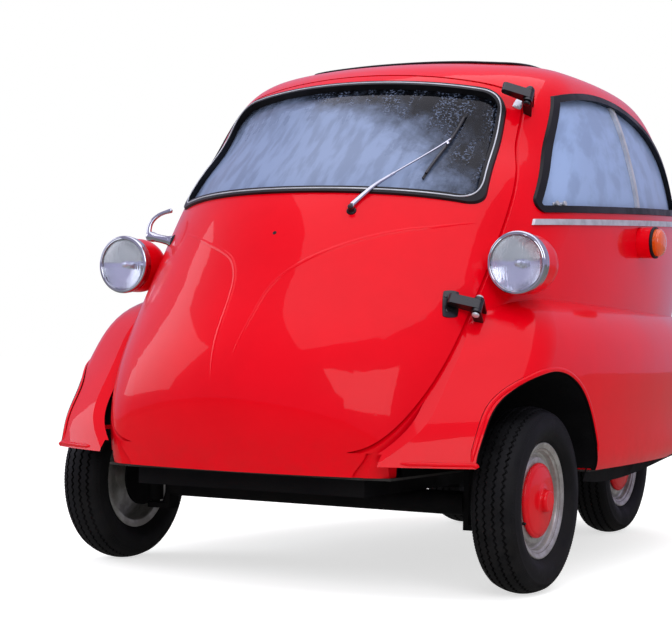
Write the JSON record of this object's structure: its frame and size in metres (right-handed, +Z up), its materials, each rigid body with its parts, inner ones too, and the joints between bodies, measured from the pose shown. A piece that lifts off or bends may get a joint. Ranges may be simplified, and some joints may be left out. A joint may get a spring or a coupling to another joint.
{
  "type": "bubble car",
  "caption": "A small egg-shaped car whose whole front is a hinged door with the windscreen, wiper and steering wheel; round lamps, a fabric roof and steered front wheels.",
  "frame": {"origin": "on the ground at the middle of the car's length and width", "axes": "+Z up, the nose points along -Y, the car's left side is +X"},
  "size_m": [1.3788, 2.2836, 1.4057],
  "materials": {
    "body_paint": "gloss",
    "clear_glass": "gloss",
    "black_rubber": "satin",
    "chrome_trim": "polished",
    "aluminium_trim": "satin",
    "black_fabric": "matte",
    "seat_cloth": "matte",
    "orange_plastic": "gloss",
    "red_plastic": "gloss",
    "wiper_metal": "satin",
    "light_plastic": "gloss",
    "cast_block": "matte",
    "tyre_rubber": "matte",
    "rim_paint": "satin",
    "black_paint": "satin",
    "grey_steel": "matte"
  },
  "bodies": {
    "root": {"chassis": "black_paint", "driver_controls": "black_paint", "engine": "cast_block", "fabric_roof": "black_fabric", "floor_pan": "black_paint", "front_axle": "black_paint", "hinge_brackets": "black_paint", "lamp_buckets": "body_paint", "lamp_lenses": "clear_glass", "lamp_rings": "chrome_trim", "lid_brackets": "black_paint", "lower_body": "body_paint", "rear_axle": "black_paint", "rear_glass": "clear_glass", "rear_shelf": "black_paint", "rear_springs": "black_paint", "seat_back": "seat_cloth", "seat_box": "black_paint", "seat_cushion": "seat_cloth", "side_glass": "clear_glass", "signal_lenses": "orange_plastic", "signal_pods": "body_paint", "silencer": "grey_steel", "tail_lamps": "red_plastic", "upper_body": "body_paint", "window_rubbers": "black_rubber", "window_strips": "aluminium_trim"},
    "door": {"front_door": "body_paint", "windscreen": "clear_glass", "windscreen_seal": "black_rubber", "wiper": "wiper_metal", "door_handle": "chrome_trim", "hinge_arms": "black_paint", "dash_panel": "black_paint", "steering_column": "black_paint"},
    "steering_wheel_body": {"steering_wheel": "light_plastic"},
    "left_knuckle_body": {"left_knuckle": "black_paint"},
    "right_knuckle_body": {"right_knuckle": "black_paint"},
    "engine_lid_body": {"engine_lid": "body_paint", "lid_eyes": "black_paint"},
    "front_left_wheel": {"front_left_tyre": "tyre_rubber", "front_left_rim": "rim_paint", "front_left_cap": "body_paint"},
    "front_right_wheel": {"front_right_tyre": "tyre_rubber", "front_right_rim": "rim_paint", "front_right_cap": "body_paint"},
    "rear_left_wheel": {"rear_left_tyre": "tyre_rubber", "rear_left_rim": "rim_paint", "rear_left_cap": "body_paint"},
    "rear_right_wheel": {"rear_right_tyre": "tyre_rubber", "rear_right_rim": "rim_paint", "rear_right_cap": "body_paint"}
  },
  "joints": [
    {"name": "door_hinge", "type": "hinge", "parent": "root", "child": "door", "pos_m": [0.496, -0.6205, 0.98], "axis": [-0.0589, 0.5625, 0.8247], "range_deg": [0, 80]},
    {"name": "steering_wheel_turn", "type": "hinge", "parent": "door", "child": "steering_wheel_body", "pos_m": [0.24, -0.5375, 0.89], "axis": [0, 0.7071, 0.7071], "range_deg": [-360, 360]},
    {"name": "left_steer", "type": "hinge", "parent": "root", "child": "left_knuckle_body", "pos_m": [0.5, -0.6875, 0.229], "axis": [0, 0, 1], "range_deg": [-30, 30]},
    {"name": "right_steer", "type": "hinge", "parent": "root", "child": "right_knuckle_body", "pos_m": [-0.5, -0.6875, 0.229], "axis": [0, 0, 1], "range_deg": [-30, 30]},
    {"name": "front_left_roll", "type": "hinge", "parent": "left_knuckle_body", "child": "front_left_wheel", "pos_m": [0.6, -0.6875, 0.229], "axis": [1, 0, 0], "continuous": true},
    {"name": "front_right_roll", "type": "hinge", "parent": "right_knuckle_body", "child": "front_right_wheel", "pos_m": [-0.6, -0.6875, 0.229], "axis": [1, 0, 0], "continuous": true},
    {"name": "rear_left_roll", "type": "hinge", "parent": "root", "child": "rear_left_wheel", "pos_m": [0.26, 0.8125, 0.229], "axis": [1, 0, 0], "continuous": true},
    {"name": "rear_right_roll", "type": "hinge", "parent": "root", "child": "rear_right_wheel", "pos_m": [-0.26, 0.8125, 0.229], "axis": [1, 0, 0], "continuous": true},
    {"name": "engine_lid_hinge", "type": "hinge", "parent": "root", "child": "engine_lid_body", "pos_m": [-0.613, 0.4825, 0.64], "axis": [0.1738, 0.9848, 0], "range_deg": [0, 80]}
  ],
  "couplings": [
    {"joint": "left_steer", "follows": "steering_wheel_turn", "ratio": 0.083333},
    {"joint": "right_steer", "follows": "steering_wheel_turn", "ratio": 0.083333}
  ]
}
